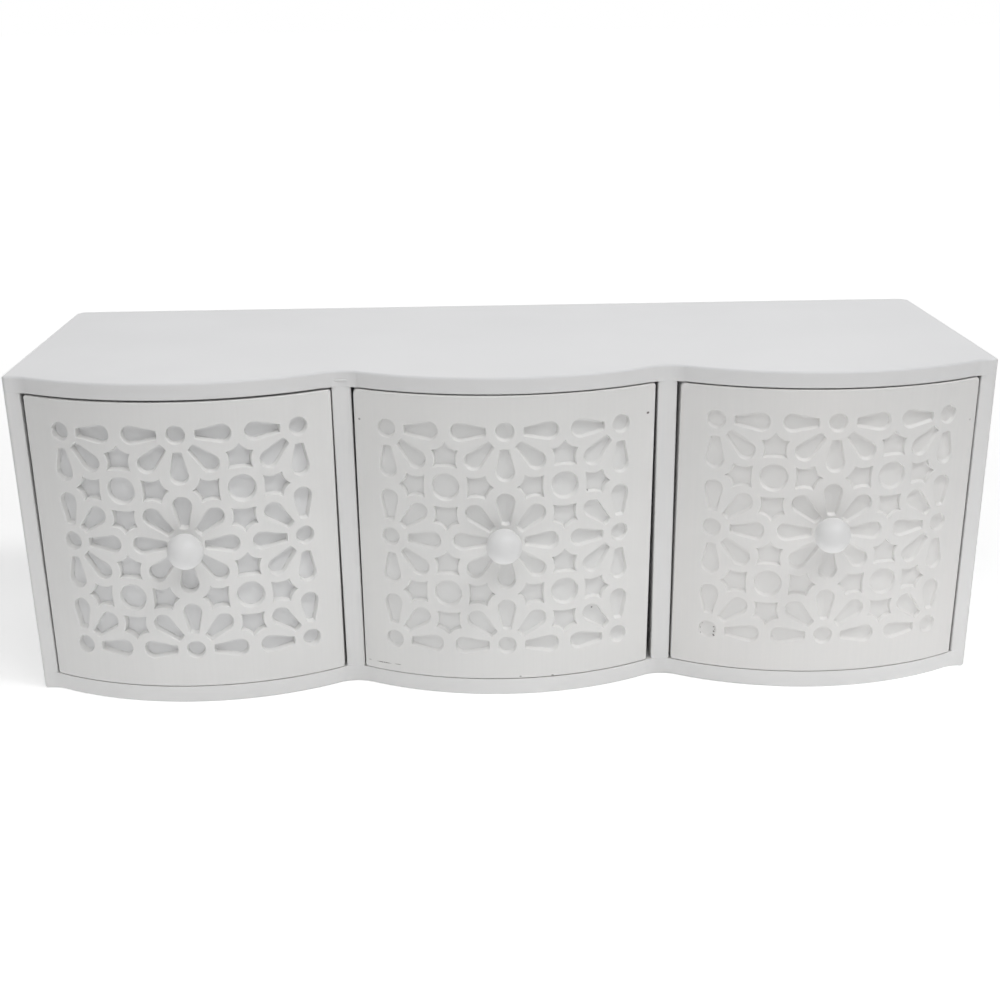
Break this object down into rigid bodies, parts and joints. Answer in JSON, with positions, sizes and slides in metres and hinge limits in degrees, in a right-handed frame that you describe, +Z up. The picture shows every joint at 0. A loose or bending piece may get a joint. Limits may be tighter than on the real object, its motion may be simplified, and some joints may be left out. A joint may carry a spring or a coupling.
{
  "type": "tabletop drawer organizer",
  "caption": "White painted wooden tabletop chest with a scalloped front: bow-fronted drawers side by side, each with a pierced flower pattern and a ball knob, slide straight out.",
  "frame": {"origin": "under the middle of the whole chest, knobs included, on the surface that it stands on", "axes": "+X to the right along the long side, +Y from the drawers to the back, +Z up"},
  "size_m": [0.36, 0.153, 0.122],
  "materials": {
    "case_paint": "white satin paint over board",
    "drawer_front_paint": "white satin paint over bent, pierced board",
    "drawer_paint": "white paint over board",
    "knob_paint": "white satin paint",
    "screw_steel": "zinc plated",
    "brad_steel": "plain steel"
  },
  "bodies": {
    "case": {"top_panel": "case_paint", "bottom_panel": "case_paint", "left_side_panel": "case_paint", "right_side_panel": "case_paint", "left_divider": "case_paint", "right_divider": "case_paint", "back_panel": "case_paint", "top_brads": "brad_steel", "bottom_brads": "brad_steel", "back_brads": "brad_steel"},
    "left_drawer": {"left_drawer_front_fretwork": "drawer_front_paint", "left_drawer_front_backing": "drawer_front_paint", "left_drawer_left_side": "drawer_paint", "left_drawer_right_side": "drawer_paint", "left_drawer_back": "drawer_paint", "left_drawer_bottom": "drawer_paint", "left_drawer_knob": "knob_paint", "left_drawer_knob_screw": "screw_steel", "left_drawer_front_brads": "brad_steel", "left_drawer_back_brads": "brad_steel"},
    "middle_drawer": {"middle_drawer_front_fretwork": "drawer_front_paint", "middle_drawer_front_backing": "drawer_front_paint", "middle_drawer_left_side": "drawer_paint", "middle_drawer_right_side": "drawer_paint", "middle_drawer_back": "drawer_paint", "middle_drawer_bottom": "drawer_paint", "middle_drawer_knob": "knob_paint", "middle_drawer_knob_screw": "screw_steel", "middle_drawer_front_brads": "brad_steel", "middle_drawer_back_brads": "brad_steel"},
    "right_drawer": {"right_drawer_front_fretwork": "drawer_front_paint", "right_drawer_front_backing": "drawer_front_paint", "right_drawer_left_side": "drawer_paint", "right_drawer_right_side": "drawer_paint", "right_drawer_back": "drawer_paint", "right_drawer_bottom": "drawer_paint", "right_drawer_knob": "knob_paint", "right_drawer_knob_screw": "screw_steel", "right_drawer_front_brads": "brad_steel", "right_drawer_back_brads": "brad_steel"}
  },
  "joints": [
    {"name": "left_drawer_slide", "type": "slide", "parent": "case", "child": "left_drawer", "axis": [0, -1, 0], "range_m": [0, 0.09]},
    {"name": "middle_drawer_slide", "type": "slide", "parent": "case", "child": "middle_drawer", "axis": [0, -1, 0], "range_m": [0, 0.09]},
    {"name": "right_drawer_slide", "type": "slide", "parent": "case", "child": "right_drawer", "axis": [0, -1, 0], "range_m": [0, 0.09]}
  ]
}
